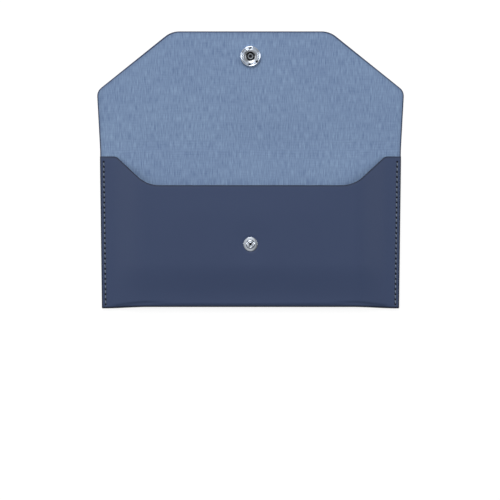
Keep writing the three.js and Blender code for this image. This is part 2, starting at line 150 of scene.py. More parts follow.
# What the frame says: the crease's hinge lines, where Y is counted from, and the flap's tilt
HINGES = [1000 * joint["pos_m"][1] for joint in frame["joints"]]
HINGE_STEP = HINGES[1] - HINGES[0]
CREASE_Y = 1000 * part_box("front_panel")[1][1] - MOUTH
FLAP_LINING_TIP = [1000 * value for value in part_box("flap_lining")[1]]
TILT = math.atan2(FLAP_LINING_TIP[2] - SHEET, FLAP_LINING_TIP[1] - HINGES[1])
SOCKET_Y = 500 * (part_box("snap_socket")[0][1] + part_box("snap_socket")[1][1]) - CREASE_Y


# Meshes

def merge(points, faces):
    """Joins points that coincide, and drops what is left of faces without area."""
    _, first, place = np.unique(np.round(points, 5), axis=0, return_index=True, return_inverse=True)
    faces = place.reshape(-1)[faces]
    repeats = (faces == np.roll(faces, 1, axis=1)).sum(axis=1)
    clean = faces[repeats == 0].tolist()
    for face in faces[repeats == 1]:
        clean.append(list(dict.fromkeys(face.tolist())))
    return first, clean


def grid_faces(index, wrap_rows=False, wrap_columns=False):
    """Squares between neighbouring rows and columns of a grid of point numbers."""
    if wrap_rows:
        index = np.vstack([index, index[:1]])
    if wrap_columns:
        index = np.hstack([index, index[:, :1]])
    corners = [index[:-1, :-1], index[:-1, 1:], index[1:, 1:], index[1:, :-1]]
    return np.stack([corner.reshape(-1) for corner in corners], axis=1)


def signed_volume(points, faces):
    """Volume inside a closed mesh, negative where its faces point inwards."""
    total = 0.0
    for count in (3, 4):
        some = np.array([face for face in faces if len(face) == count])
        if len(some):
            for second in range(1, count - 1):
                a, b, c = points[some[:, 0]], points[some[:, second]], points[some[:, second + 1]]
                total += np.einsum("ij,ij->i", a, np.cross(b, c)).sum()
    return total


def make_piece(name, points, faces, material, body, uv=None, marks=None, sharp=50):
    """A named object from points in millimetres, its faces turned outwards, riding on a body."""
    first, faces = merge(points, faces)
    kept = points[first]
    if signed_volume(kept, faces) < 0:
        faces = [face[::-1] for face in faces]
    mesh = bpy.data.meshes.new(name)
    mesh.from_pydata((kept / 1000).tolist(), [], faces)
    if uv is not None:
        corner_points = np.empty(len(mesh.loops), dtype=np.int64)
        mesh.loops.foreach_get("vertex_index", corner_points)
        layer = mesh.uv_layers.new(name="sheet")
        layer.data.foreach_set("uv", (uv[first][corner_points] / 1000).astype(np.float32).ravel())
    for mark, values in (marks or {}).items():
        attribute = mesh.attributes.new(mark, "FLOAT", "POINT")
        attribute.data.foreach_set("value", values[first].astype(np.float32))
    mesh.shade_smooth()
    mesh.set_sharp_from_angle(angle=math.radians(sharp))
    mesh.materials.append(material)
    piece = bpy.data.objects.new(name, mesh)
    bpy.context.scene.collection.objects.link(piece)
    if body:
        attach(piece, body)
    return piece


def make_sheet(name, outer, inner, uv, marks, material, body):
    """A closed sheet between two grids of points, its outer and its inner face. Where the two
    faces meet, at a rounded edge, they share their points. An end that stays thick is closed."""
    rows, columns = outer.shape[:2]
    number = np.arange(rows * columns).reshape(rows, columns)
    around = np.hstack([number, number[:, ::-1] + rows * columns])
    faces = [grid_faces(around, wrap_columns=True)]
    for row in (0, rows - 1):
        a, b = number[row, :-1], number[row, 1:]
        end = np.stack([a, b, b + rows * columns, a + rows * columns], axis=1)
        faces.append(end if row else end[:, ::-1])
    points = np.concatenate([outer.reshape(-1, 3), inner.reshape(-1, 3)])
    both = {mark: np.concatenate([values.ravel()] * 2) for mark, values in marks.items()}
    uv_both = np.concatenate([uv.reshape(-1, 2)] * 2)
    return make_piece(name, points, np.concatenate(faces), material, body, uv_both, both)


def turned(name, profile, place, material, body, dull, closed=False, dent=None):
    """A profile of (radius, height) points turned round an axis. The place gives the axis's foot
    and its tilt about X. A function of radius and height says where the plating is dull, and a dent
    lowers points by a function of radius and angle and makes them dull. Dull places are darkened
    too, which is painted shade."""
    foot, tilt = place
    sides = 96
    profile = np.array(profile, float)
    angle = np.linspace(0, 2 * math.pi, sides, endpoint=False)
    radius = profile[:, :1]
    x = radius * np.cos(angle)
    across = radius * np.sin(angle)
    height = np.repeat(profile[:, 1:], sides, axis=1)
    dullness = 1.0 * dull(radius + 0 * height, height)
    if dent:
        low = dent(radius, angle)
        # The dent's points are dulled and darkened: painted shade in the slots.
        dullness = np.maximum(dullness, low / low.max())
        height = height - low
    y = across * math.cos(tilt) - height * math.sin(tilt)
    z = across * math.sin(tilt) + height * math.cos(tilt)
    points = np.stack([x, y, z], axis=2) + np.array(foot)
    number = np.arange(points.shape[0] * sides).reshape(points.shape[0], sides)
    faces = grid_faces(number, wrap_rows=closed, wrap_columns=True)
    marks = {"dull": dullness.ravel()}
    return make_piece(name, points.reshape(-1, 3), faces, material, body, marks=marks, sharp=40)


def tube(name, path, side, radius, material, body, plies=0, lay=1.0, sunk=None):
    """A tube along a path of points. Each ring stands square to the path, between a fixed sideways
    direction and the one square to both. With plies, the ring has as many lobes and turns once
    each lay length, as twisted thread does. Both ends close to a point. Sunk says for each point
    of the path how far it lies in the shade of a hole."""
    sides = 12
    along = np.gradient(path, axis=0)
    along /= np.linalg.norm(along, axis=1)[:, None]
    side = side - (along @ side)[:, None] * along
    side /= np.linalg.norm(side, axis=1)[:, None]
    up = np.cross(along, side)
    length = np.concatenate([[0], np.cumsum(np.linalg.norm(np.diff(path, axis=0), axis=1))])
    angle = np.linspace(0, 2 * math.pi, sides, endpoint=False)
    turn = 2 * math.pi * length[:, None] / lay
    lobe = PLY_LOBE if plies else 0
    ring = radius * (1 + lobe * np.cos(plies * angle - turn))
    ring[[0, -1]] = 0
    points = path[:, None] + ring[..., None] * (
        np.cos(angle)[None, :, None] * side[:, None] + np.sin(angle)[None, :, None] * up[:, None]
    )
    number = np.arange(len(path) * sides).reshape(len(path), sides)
    faces = grid_faces(number, wrap_columns=True)
    marks = None if sunk is None else {"sunk": np.repeat(sunk, sides)}
    return make_piece(name, points.reshape(-1, 3), faces, material, body, marks=marks, sharp=60)


# Shape of the wallet

def rounded_line(place, corners):
    """Height of a line through corners (place, height, radius): straight runs, and at each inner
    corner with a radius the arc of a circle that touches both runs."""
    line = np.interp(place, [c[0] for c in corners], [c[1] for c in corners])
    for before, (at, height, radius), after in zip(corners, corners[1:], corners[2:]):
        if radius == 0:
            continue
        come = math.atan2(height - before[1], at - before[0])
        leave = math.atan2(after[1] - height, after[0] - at)
        reach = radius * abs(math.tan((leave - come) / 2))
        bend = math.copysign(1, leave - come)
        centre = at - reach * math.cos(come) - bend * radius * math.sin(come)
        level = height - reach * math.sin(come) + bend * radius * math.cos(come)
        inside = (place >= at - reach * math.cos(come)) & (place <= at + reach * math.cos(leave))
        arc = level - bend * np.sqrt(np.maximum(radius ** 2 - (place - centre) ** 2, 0))
        line = np.where(inside, arc, line)
    return line


def smooth(value, start, end):
    """0 before start, 1 after end, and an S between."""
    part = np.clip((value - start) / (end - start), 0, 1)
    return part * part * (3 - 2 * part)


def half_width(y):
    """Half the open sheet's width at a height: nearly straight up the pocket, flaring up to the
    flap's shoulder, then in along the cut corner to the rounded end of the tip."""
    return rounded_line(y, [
        (-POCKET_DEPTH - 1, POCKET_HALF_WIDTH, 0),
        (0, CREASE_HALF_WIDTH, 0),
        (FLAP_SHOULDER, FLAP_HALF_WIDTH, FLAP_SIDE_RADIUS),
        (FLAP_REACH, TIP_HALF_WIDTH, FLAP_TIP_RADIUS),
        (FLAP_REACH, 0, 0),
    ])


def mouth_line(x):
    """Height of the front panel's top edge: flat in the scoop, up its slanted end, flat again."""
    return rounded_line(np.abs(x), [
        (-1, MOUTH - SCOOP_DEPTH, 0),
        (SCOOP_BOTTOM_HALF_WIDTH, MOUTH - SCOOP_DEPTH, SCOOP_BOTTOM_RADIUS),
        (SCOOP_TOP_HALF_WIDTH, MOUTH, SCOOP_TOP_RADIUS),
        (CREASE_HALF_WIDTH + 1, MOUTH, 0),
    ])


def crown(x, top):
    """Height across the pocket: a top in the middle, falling in an S to the seams."""
    return top + (SEAM_TOP - top) * smooth(np.abs(x), CROWN_HALF_WIDTH, SEAM_FLAT)


def front_face(x, y):
    """Height of the front panel's outer face: the crown, a little lower towards the bottom fold."""
    low = crown(x, FOLD_TOP)
    return low + (crown(x, CROWN_TOP) - low) * smooth(y, *FOLD_TAPER)


def wave(x, y):
    """Slight unevenness of the sheet, from three slow waves, 65 to 145 mm long."""
    one = np.sin(x / 17.0 + 0.6) * np.cos(y / 23.0 + 0.3)
    two = np.sin(x / 31.0 - y / 19.0 + 1.9)
    three = np.cos(x / 11.0 + y / 37.0)
    return 0.045 * one + 0.05 * two + 0.02 * three


def pillow(x, y):
    """How far the filled front stands above the plain crown: a soft cushion that is drawn in
    round the stud, at the seams, at the bottom and at the mouth."""
    from_stud = np.hypot(x, y + STUD_BELOW_CREASE)
    near_edges = 1 - smooth(np.abs(x), 30, CROWN_HALF_WIDTH)
    near_bottom = smooth(y, -POCKET_DEPTH + 6, -POCKET_DEPTH + 26)
    near_mouth = 1 - smooth(y, -38, MOUTH - SCOOP_DEPTH)
    from_flange = from_stud - STUD_FLANGE_RADIUS - 0.3
    groove = STUD_GROOVE_DEPTH * np.exp(-(from_flange / STUD_GROOVE_SPREAD) ** 2)
    cushion = (PILLOW * near_bottom * near_mouth + wave(x, y)) * near_edges
    return cushion * smooth(from_stud, 5.0, 15) - groove


def open_sheet(x, y, height):
    """A point of the back, crease or flap at a height above the outer face. The sheet lies flat
    up to half a step before the last hinge, turns up along an arc to the flap's tilt, and goes on
    straight. The arc's middle line is the lining's face, about which the hinge turns."""
    start = HINGES[1] - CREASE_Y - HINGE_STEP / 2
    turn = TILT * np.clip((y - start) / HINGE_STEP, 0, 1)
    bend_radius = HINGE_STEP / TILT
    beyond = np.maximum(y - start - HINGE_STEP, 0)
    line_y = np.minimum(y, start) + bend_radius * np.sin(turn) + beyond * math.cos(TILT)
    line_z = SHEET + bend_radius * (1 - np.cos(turn)) + beyond * math.sin(TILT)
    lift = height - SHEET
    point_y = CREASE_Y + line_y - lift * np.sin(turn)
    point_z = line_z + lift * np.cos(turn)
    return np.stack([x, point_y, point_z], axis=-1)


def edge_columns(inset, fine):
    """Distances of grid columns from the sheet's edge: close together at the rounded edge and,
    where it is fine, at the stitches."""
    rounding = [0, 0.02, 0.08, 0.18, 0.35, 0.7]
    seam = [-1.2, -0.8, -0.5, -0.3, -0.15, 0, 0.15, 0.3, 0.5, 0.8, 1.2] if fine else [0, 1.2]
    return np.array(rounding + [SEAM_INSET - inset + offset for offset in seam])


def columns(widths, inset, fine):
    """X of every grid column for an array of half widths, from left to right: columns near the
    edge keep their distance to it, and the others spread evenly, closer at the scoop's corners."""
    from_edge = edge_columns(inset, fine)
    near_scoop = np.concatenate([
        [0, 1, 2, 2.9, 3.6, 4.1, 4.6, 5.2, 6, 7.2, 9, 12], np.linspace(16, 48, 8),
        np.linspace(50.2, 65, 15), np.linspace(67, 73.5, 4), np.linspace(74.6, 78.6, 8), [79.8],
    ])
    inner = near_scoop / SEAM_FLAT
    reach = (widths - inset - from_edge[-1])[:, None]
    right = np.hstack([reach * inner, (widths - inset)[:, None] - from_edge[::-1]])
    return np.hstack([-right[:, :0:-1], right])


def edge_distance(x, y, inset):
    """Distance from a point of the open sheet to its outline: the least distance to a straight
    side, or to the arc where the point lies behind a rounded corner. The first two sides meet in a
    hollow corner, so of those the greater distance counts."""
    x = np.abs(x)
    sides = [
        ((POCKET_HALF_WIDTH, -POCKET_DEPTH), (CREASE_HALF_WIDTH, 0)),
        ((CREASE_HALF_WIDTH, 0), (FLAP_HALF_WIDTH, FLAP_SHOULDER)),
        ((FLAP_HALF_WIDTH, FLAP_SHOULDER), (TIP_HALF_WIDTH, FLAP_REACH)),
        ((TIP_HALF_WIDTH, FLAP_REACH), (0, FLAP_REACH)),
    ]
    normals = []
    to_side = []
    for (x0, y0), (x1, y1) in sides:
        length = math.hypot(x1 - x0, y1 - y0)
        normals.append(((y1 - y0) / length, (x0 - x1) / length))
        to_side.append((x0 - x) * normals[-1][0] + (y0 - y) * normals[-1][1])
    distance = np.minimum.reduce([np.maximum(to_side[0], to_side[1]), *to_side[2:]])
    for corner, radius in ((2, FLAP_SIDE_RADIUS), (3, FLAP_TIP_RADIUS)):
        (ax, ay), (bx, by) = normals[corner - 1], normals[corner]
        px, py = sides[corner][0]
        scale = radius / (1 + ax * bx + ay * by)
        cx, cy = px - scale * (ax + bx), py - scale * (ay + by)
        behind = ((x - cx) * -ay + (y - cy) * ax > 0) & ((x - cx) * -by + (y - cy) * bx < 0)
        distance = np.where(behind, radius - np.hypot(x - cx, y - cy), distance)
    return np.maximum(distance - inset, 0)


def rounded_half(distance, half):
    """Half the thickness at a distance from the edge, which falls to nothing at the edge along a
    quarter circle."""
    into = np.clip(distance / half, 0, 1)
    return half * np.sqrt(1 - (1 - into) ** 2)


# Stitches

SEAM_FIRST = MOUTH - SEAM_START
SEAM_LAST = -POCKET_DEPTH + SEAM_END
SEAM_STITCHES = int((SEAM_FIRST - SEAM_LAST) / STITCH_PITCH)
HOLE_Y = SEAM_FIRST - STITCH_PITCH * np.arange(SEAM_STITCHES + 1)


def stitch_press(from_edge, y, line_depth):
    """How far thread pulls a face in, and how near a hole is: a narrow valley along the seam, with
    a steep pit at each hole, longer down the seam than across it, and a faint swelling beside
    each stitch."""
    across = from_edge - SEAM_INSET
    phase = (HOLE_Y[0] - y) / STITCH_PITCH
    nearest = STITCH_PITCH * np.abs((phase + 0.5) % 1 - 0.5)
    on_seam = smooth(-y, -HOLE_Y[0] - 0.9, -HOLE_Y[0]) * smooth(y, HOLE_Y[-1] - 0.9, HOLE_Y[-1])
    from_hole = (across / HOLE_SPREAD[0]) ** 2 + (nearest / HOLE_SPREAD[1]) ** 2
    hole = np.exp(-from_hole ** 2) * on_seam
    line = np.exp(-(across / LINE_SPREAD) ** 2) * on_seam
    beside = np.exp(-((across - 0.75) / 0.25) ** 2)
    swelling = SWELLING * beside * np.sin(2 * math.pi * (phase + 0.12)) * on_seam
    return np.maximum(HOLE_DEPTH * hole, line_depth * line) - swelling, hole


def stitch_rows(top, bottom, offsets):
    """Heights of grid rows from top to bottom, gathered at the stitch holes."""
    rows = (HOLE_Y[:, None] + np.array(offsets)).ravel()
    rows = rows[(rows < top - 0.1) & (rows > bottom + 0.1)]
    return np.concatenate([[top], np.sort(rows)[::-1], [bottom]])


# The pocket's sheets

def pocket_grid(depth, inset, top, back_rows, front_rows, fine):
    """Points of a layer at a depth under the outer face, with its outward normals. Rows go down
    the back from the height top, half way round the bottom fold, and up the front to the mouth.
    At each place across, the fold is half a circle as thick as the pocket is there, and the rows
    above it are spread in proportion. Near the mouth the rows keep their distance to its edge."""
    rim = (LINING if depth > SKIN else SKIN) / 2
    rim_rows = rim * (1 - np.cos(np.radians([90, 65, 45, 25, 0])))
    turn = np.radians(np.linspace(0, 180, 21))[1:-1]
    grid_y = np.concatenate([
        back_rows, np.full(len(turn), FLAT_END), front_rows, np.full(len(rim_rows), MOUTH),
    ])
    x = columns(half_width(grid_y), inset, fine)
    centre, radius = fold_end(x)
    slope = np.gradient(mouth_line(x[-1]), x[-1])
    stretch = np.sqrt(1 + slope ** 2)
    mouth = mouth_line(x[-1]) - inset * stretch
    backs, fronts = len(back_rows), len(front_rows)
    y = np.empty(x.shape)
    z = np.empty(x.shape)
    part = ((back_rows - top) / (FLAT_END - top))[:, None]
    y[:backs] = top + (centre[:backs] - top) * part
    z[:backs] = depth
    bend = slice(backs, backs + len(turn))
    y[bend] = centre[bend] - (radius[bend] - depth) * np.sin(turn)[:, None]
    z[bend] = radius[bend] - (radius[bend] - depth) * np.cos(turn)[:, None]
    front = slice(bend.stop, bend.stop + fronts)
    part = ((front_rows - FLAT_END) / (MOUTH - inset - 2 * rim - FLAT_END))[:, None]
    y[front] = centre[front] + (mouth - 2 * rim * stretch - centre[front]) * part
    y[front.stop:] = mouth - rim_rows[:, None] * stretch
    over, up = x[front.start:], y[front.start:]
    skive = SKIVE * (1 - smooth((mouth - up) / stretch, 0.1, 1.6))
    z[front.start:] = front_face(over, up) - depth + pillow(over, up) - skive
    points = np.stack([x, CREASE_Y + y, z], axis=2)
    normal = np.cross(np.gradient(points, axis=1), np.gradient(points, axis=0))
    normal /= np.linalg.norm(normal, axis=2)[..., None]
    to_mouth = np.full(x.shape, 50.0)
    to_mouth[front.stop:] = rim_rows[:, None]
    to_mouth[front] = (mouth - y[front]) / stretch
    from_edge = half_width(grid_y)[:, None] - inset - np.abs(x)
    return points, normal, y, np.minimum(from_edge, to_mouth), from_edge, backs + len(turn) // 2


def fold_end(x):
    """Height at which the half round of the bottom fold ends, and the half round's radius. The
    further it stands out, the more it draws the bottom edge up."""
    radius = crown(x, FOLD_TOP) / 2
    return -POCKET_DEPTH + FOLD_BOW * (radius - SEAM_TOP / 2) + radius, radius


def corner_pinch(x, y):
    """A shallow crease along the bottom fold's round, which is pinched flat beside the end of each
    seam: a bell across it, fading towards the middle and at the seam."""
    beside = smooth(np.abs(x), 42, 64) * (1 - smooth(np.abs(x), 74, 81))
    return PINCH_DEPTH * beside * np.exp(-((fold_end(x)[0] - PINCH_BELOW - y) / PINCH_SPREAD) ** 2)


def path_length(points, top):
    """Places on the flat sheet: X, and the height top less the way down each column."""
    steps = np.linalg.norm(np.diff(points, axis=0), axis=2)
    way = np.vstack([np.zeros(points.shape[1]), np.cumsum(steps, axis=0)])
    return np.stack([points[..., 0], top - way], axis=2)


def pocket_leather(top, material):
    """The outer leather of the pocket in one sheet: the back, the bottom fold and the front panel,
    with the stitch holes pressed into both faces."""
    back = stitch_rows(top, FLAT_END, [-0.35, 0, 0.35, STITCH_PITCH / 2])
    at_holes = [-0.9, -0.66, -0.36, 0, 0.36, 0.66, 0.9, STITCH_PITCH / 2]
    front = stitch_rows(MOUTH - SKIN, FLAT_END, at_holes)[::-1]
    points, normal, y, distance, from_edge, middle = pocket_grid(SKIN_MIDDLE, 0, top, back, front, True)
    half = rounded_half(distance, SKIN / 2)
    press, hole = stitch_press(from_edge, y, LINE_DEPTH)
    channel, _ = stitch_press(from_edge, y, CHANNEL_DEPTH)
    press[:middle] = channel[:middle]
    press[middle:] += corner_pinch(points[middle:, :, 0], y[middle:])
    press = np.minimum(press, 1.5 * half)
    outer = points + (half - press)[..., None] * normal
    inner = points - half[..., None] * normal
    # Dark bands: at the sides and the mouth partly edge paint and partly painted shade; along the
    # bottom fold's round, painted shade only.
    at_side = 0.55 * (1 - smooth(from_edge, 0.4, 1.1))
    at_mouth = 0.8 * (1 - smooth(distance, 0.35, 0.9))
    centre, radius = fold_end(points[..., 0])
    fold_shade_band = 0.8 * (1 - smooth(y - centre + radius - SKIN_MIDDLE, 0.4, 1.2))
    marks = {"paint": np.maximum.reduce([at_side, at_mouth, fold_shade_band]), "hole": hole}
    flat = path_length(points, top)
    return make_sheet("pocket_leather", outer, inner, flat, marks, material, "pocket")


def pocket_lining(top, material):
    """The lining of the pocket in one sheet, just inside the leather and a little shorter."""
    back = np.linspace(top, FLAT_END, 40)
    front = np.linspace(FLAT_END, MOUTH - LINING_INSET - LINING, 40)
    points, normal, _, distance, _, _ = pocket_grid(
        LINING_MIDDLE, LINING_INSET, top, back, front, False,
    )
    half = rounded_half(distance, LINING / 2)[..., None]
    # The lining is drawn darker within 0.5 mm of its edge.
    marks = {"paint": 0.6 * (1 - smooth(distance, 0, 0.5))}
    return make_sheet(
        "pocket_lining", points + half * normal, points - half * normal,
        path_length(points, top), marks, material, "pocket",
    )


# The crease's and the flap's sheets

def open_stretch(name, rows, height, thickness, inset, material, body, tip=False):
    """A stretch of the open sheet between two rows, centred on a height above the outer face. At
    the tip the rows stop short by the inset, and the edge is rounded."""
    beyond = inset * smooth(rows, 30, 60) if tip else 0
    widths = half_width(np.minimum(rows + beyond, FLAP_REACH))
    x = columns(widths, inset, False)
    y = np.repeat(rows[:, None], x.shape[1], axis=1)
    distance = edge_distance(x, y, inset)
    half = rounded_half(distance, thickness / 2)
    ripple = wave(x, y) * smooth(y, 8, 20) + crease_ripple(x, y) * (height > SKIN)
    outer = open_sheet(x, y, height + half + ripple)
    inner = open_sheet(x, y, height - half + ripple)
    # For the lining only, the colour is drawn a little darker within 2.2 mm of the edge.
    pressed = 0.15 * (height > SKIN) * (1 - smooth(distance, 0.3, 2.2))
    marks = {"paint": np.maximum(0.6 * (1 - smooth(distance, 0.1, 0.5)), pressed)}
    return make_sheet(name, outer, inner, np.stack([x, y], axis=2), marks, material, body)


def crease_ripple(x, y):
    """Faint ridges along the crease, where the lining bunches up when the flap is shut."""
    zone = smooth(y, -6, -1) * (1 - smooth(y, 4, 10))
    phase = (y + 0.5 * np.sin(x / 21.0)) / RIPPLE_SPACING
    return RIPPLE_HEIGHT * zone * np.sin(2 * math.pi * phase)


def flap_rows(start, inset):
    """Rows from the last crease piece to the tip, close together at the rounded corners."""
    near_tip = FLAP_REACH - inset - np.array([
        0, 0.004, 0.02, 0.06, 0.12, 0.22, 0.35, 0.6, 1, 1.5, 2.2, 3, 4, 5.2, 6.6, 8.2, 10, 12, 14, 16.5,
    ])
    return np.concatenate([
        np.linspace(start, 26, 8), np.linspace(27, 41, 19), np.linspace(43, near_tip[-1], 5)[:-1],
        near_tip[::-1],
    ])


# Snap

def arc(centre, radius, start, end, steps=6):
    """Points of a circle's arc between two angles in degrees, as (radius, height)."""
    angle = np.radians(np.linspace(start, end, steps))
    return [(centre[0] + radius * math.cos(a), centre[1] + radius * math.sin(a)) for a in angle]


def post_bore(top, floor):
    """The wall and the flat floor of a post's bore, from a height down to its middle."""
    wall = [(POST_BORE_RADIUS, top), (POST_BORE_RADIUS, floor + 0.1)]
    return wall + [(POST_BORE_RADIUS - 0.1, floor), (0, floor)]


def snap_stud(material):
    """A thin flange that slopes outwards, and a nub: its waist draws in, its side and shoulder are
    part of an ellipse, and its top dips towards the rivet in the middle."""
    top = STUD_FLANGE + NUB_HEIGHT
    round_in, round_down = 0.75, 0.55
    around = np.radians(np.linspace(-55, 95, 14))
    shoulder_radius = NUB_RADIUS - round_in * (1 - np.cos(around))
    shoulder = zip(shoulder_radius, top - round_down * (1 - np.sin(around)))
    profile = [
        (POST_RADIUS + 0.1, 0), (STUD_FLANGE_RADIUS - 0.1, 0),
        *arc((STUD_FLANGE_RADIUS - 0.06, 0.06), 0.06, -60, 80),
        (NUB_RADIUS + 0.45, STUD_FLANGE + 0.02), (NUB_RADIUS - 0.1, STUD_FLANGE + 0.04),
        (NUB_RADIUS - 0.28, STUD_FLANGE + 0.07), *shoulder,
        (POST_RADIUS + 0.3, top - 0.06), (POST_RADIUS + 0.14, top - 0.18),
        (POST_RADIUS + 0.1, top - 0.4),
    ]
    place = ((0, CREASE_Y - STUD_BELOW_CREASE, CROWN_TOP), 0.0)

    def dull(radius, height):
        """Faint on the flange, and full round the waist and down in the dip, where the darkening is
        painted shade and painted dark reflection.
        """
        flange = 0.06 * (radius > NUB_RADIUS + 0.1)
        waist = 0.94 * (np.abs(radius - NUB_RADIUS) < 0.4) * (height < top - 0.6)
        return flange + waist + (radius < POST_RADIUS + 0.2) * (height < top - 0.1)

    return turned("snap_stud_turned", profile, place, material, "pocket", dull, closed=True)


def stud_rivet(material):
    """A flange inside the pocket and a hollow post, its end rolled outwards in the stud."""
    top = RIVET_FLANGE + SHEET + STUD_FLANGE + NUB_HEIGHT - 0.15
    floor = RIVET_FLANGE + SHEET + 0.1
    profile = [
        (0, 0), (RIVET_FLANGE_RADIUS - 0.15, 0),
        *arc((RIVET_FLANGE_RADIUS - 0.15, 0.15), 0.15, -70, 0),
        (RIVET_FLANGE_RADIUS, RIVET_FLANGE - 0.1), (RIVET_FLANGE_RADIUS - 0.1, RIVET_FLANGE),
        (POST_RADIUS, RIVET_FLANGE), (POST_RADIUS, top - 0.2),
        *arc((1.0, top - 0.22), 0.22, 0, 180, 8), *post_bore(top - 0.6, floor),
    ]
    place = ((0, CREASE_Y - STUD_BELOW_CREASE, CROWN_TOP - SHEET - RIVET_FLANGE), 0.0)

    def dull(radius, height):
        """Full in the bore, where the darkening is painted shade."""
        return (radius < POST_BORE_RADIUS + 0.01) & (height > RIVET_FLANGE)

    return turned("stud_rivet_turned", profile, place, material, "pocket", dull)


def flap_place(height):
    """Foot and tilt of a snap part on the flap, at a height above the leather's outer face."""
    reach = (SOCKET_Y - HINGES[1] + CREASE_Y) / math.cos(TILT)
    y = HINGES[1] + reach * math.cos(TILT) - (height - SHEET) * math.sin(TILT)
    z = SHEET + reach * math.sin(TILT) + (height - SHEET) * math.cos(TILT)
    return (0, y, z), TILT


def snap_cap(material):
    """A low cap with a crowned face, which is part of a sphere, and a rolled rim, and its hollow
    post, whose end is rolled out over the socket's base."""
    edge = 0.5
    crown_radius = 34.0
    face = np.linspace(0, CAP_RADIUS - edge, 9)
    rise = crown_radius - np.sqrt(crown_radius ** 2 - face ** 2)
    slope = math.degrees(math.asin(face[-1] / crown_radius))
    level = -CAP_HEIGHT + rise[-1] + edge * math.cos(math.radians(slope))
    base = SHEET + SOCKET_BASE
    floor = SHEET + 0.1
    profile = [
        *zip(face, rise - CAP_HEIGHT), *arc((CAP_RADIUS - edge, level), edge, slope - 80, 0, 8),
        (CAP_RADIUS, -0.2), *arc((CAP_RADIUS - 0.15, -0.17), 0.15, 10, 90, 4),
        (POST_RADIUS, -0.02), (POST_RADIUS, base + 0.05),
        *arc((1.45, base + 0.17), 0.13, -60, 120, 7), *post_bore(base + 0.24, floor),
    ]

    def dull(radius, height):
        """About half on the post's rolled end, and full in its bore, where the darkening is painted
        shade.
        """
        return (0.55 + 0.45 * (radius < POST_BORE_RADIUS + 0.01)) * (radius < 1.7) * (height > 0)

    return turned("snap_cap_turned", profile, flap_place(0), material, "flap", dull)


def snap_socket(material):
    """A pressed ring: a rounded outer rim, a valley inside it, a raised inner collar that slopes
    down to the mouth, and inside the mouth a groove for the spring over the base. Three short
    slots are struck into the valley, to hold the spring. Inside the mouth and in the slots the
    plating is dull and darkened, which is painted shade."""
    h = SOCKET_HEIGHT
    rim = 0.42
    valley = SOCKET_RADIUS - 1.25
    mouth = SOCKET_MOUTH_RADIUS
    profile = [
        (POST_RADIUS + 0.1, 0), (SOCKET_RADIUS - 0.2, 0),
        *arc((SOCKET_RADIUS - 0.2, 0.2), 0.2, -60, 0, 4),
        *arc((SOCKET_RADIUS - rim, h - rim), rim, 0, 165, 12),
        (valley + 0.25, h - 0.62), *arc((valley, h - 0.5), 0.22, -40, -140, 5),
        *arc((4.02, h - 0.32), 0.26, 10, 110, 6), (3.4, h - 0.2), (3.05, h - 0.32),
        *arc((mouth + 0.14, h - 0.5), 0.14, 90, 180, 5), (mouth, h - 0.75), (mouth + 0.1, h - 0.8),
        (mouth + 0.6, h - 0.8), (mouth + 0.6, SOCKET_BASE), (POST_RADIUS + 0.1, SOCKET_BASE),
    ]

    def slots(radius, angle):
        """A bell across the valley, half a millimetre deep, for a short way at three places."""
        low = np.exp(-((radius - valley) / 0.42) ** 2)
        turns = [np.angle(np.exp(1j * (angle - math.radians(at)))) for at in (92, -42, -95)]
        span = sum(1 - smooth(np.abs(turn) * radius, 0.35, 0.85) for turn in turns)
        return 0.5 * low * span

    def dull(radius, height):
        """Growing to full over the mouth's lip, and full on the base and in the groove, where the
        darkening is painted shade.
        """
        at_lip = smooth(radius, mouth + 0.12, mouth - 0.02) * (radius < mouth + 0.12)
        return at_lip * (height < h - 0.45) + (height < h - 0.6) * (radius < mouth + 1)

    return turned("snap_socket_turned", profile, flap_place(SHEET), material, "flap", dull, True, slots)


def socket_spring(material):
    """One wire bent into a loop, open at the top, that lies half in the socket's groove and just
    shows inside its mouth."""
    radius = SOCKET_MOUTH_RADIUS - 0.05
    angle = np.radians(np.linspace(115, 425, 60))
    foot, tilt = flap_place(SHEET + SOCKET_BASE + 0.32)
    across = radius * np.sin(angle)
    path = [radius * np.cos(angle), across * math.cos(tilt), across * math.sin(tilt)]
    axis = np.array([0, -math.sin(tilt), math.cos(tilt)])
    placed = np.stack(path, axis=1) + foot
    return tube("socket_spring_wire", placed, axis, SPRING_WIRE / 2, material, "flap")


# Threads

def seam_thread(name, side, face, facing, material):
    """One thread of a seam. Over each stitch it is a low arch, near a parabola, and it passes from
    stitch to stitch down in the hole. Each stitch lies a little aslant, and swings back in the
    hole."""
    per_stitch = 16
    part = np.linspace(0, 1, per_stitch + 1)[:-1]
    dome = (1 - np.abs(2 * part - 1) ** 2.6) ** 1.3
    slant = (2 * part - 1) * (1 - np.abs(2 * part - 1) ** 6)
    run = np.append(np.tile(dome, SEAM_STITCHES), 0.0)
    aslant = np.append(np.tile(slant, SEAM_STITCHES), 0.0)
    count = np.arange(len(run)) / per_stitch
    height = (THREAD_RISE + THREAD_DROP) * run - THREAD_DROP
    y = SEAM_FIRST - STITCH_PITCH * count
    x = side * (half_width(y) - SEAM_INSET) + STITCH_SLANT * aslant + 0.04 * np.sin(count * 2.1)
    path = np.stack([x, CREASE_Y + y, face + facing * height], axis=1)
    across = np.array([1.0, 0, 0])
    sunk = smooth(-height, 0.02, 0.4)
    return tube(
        name, path, across, THREAD_RADIUS, material, "pocket", THREAD_PLIES, THREAD_LAY, sunk,
    )


# Materials

def colour(code):
    """Turns an sRGB hex colour into the linear one that shaders take."""
    channels = [int(code[i:i + 2], 16) / 255 for i in (1, 3, 5)]
    linear = [c / 12.92 if c <= 0.04045 else ((c + 0.055) / 1.055) ** 2.4 for c in channels]
    return (*linear, 1.0)


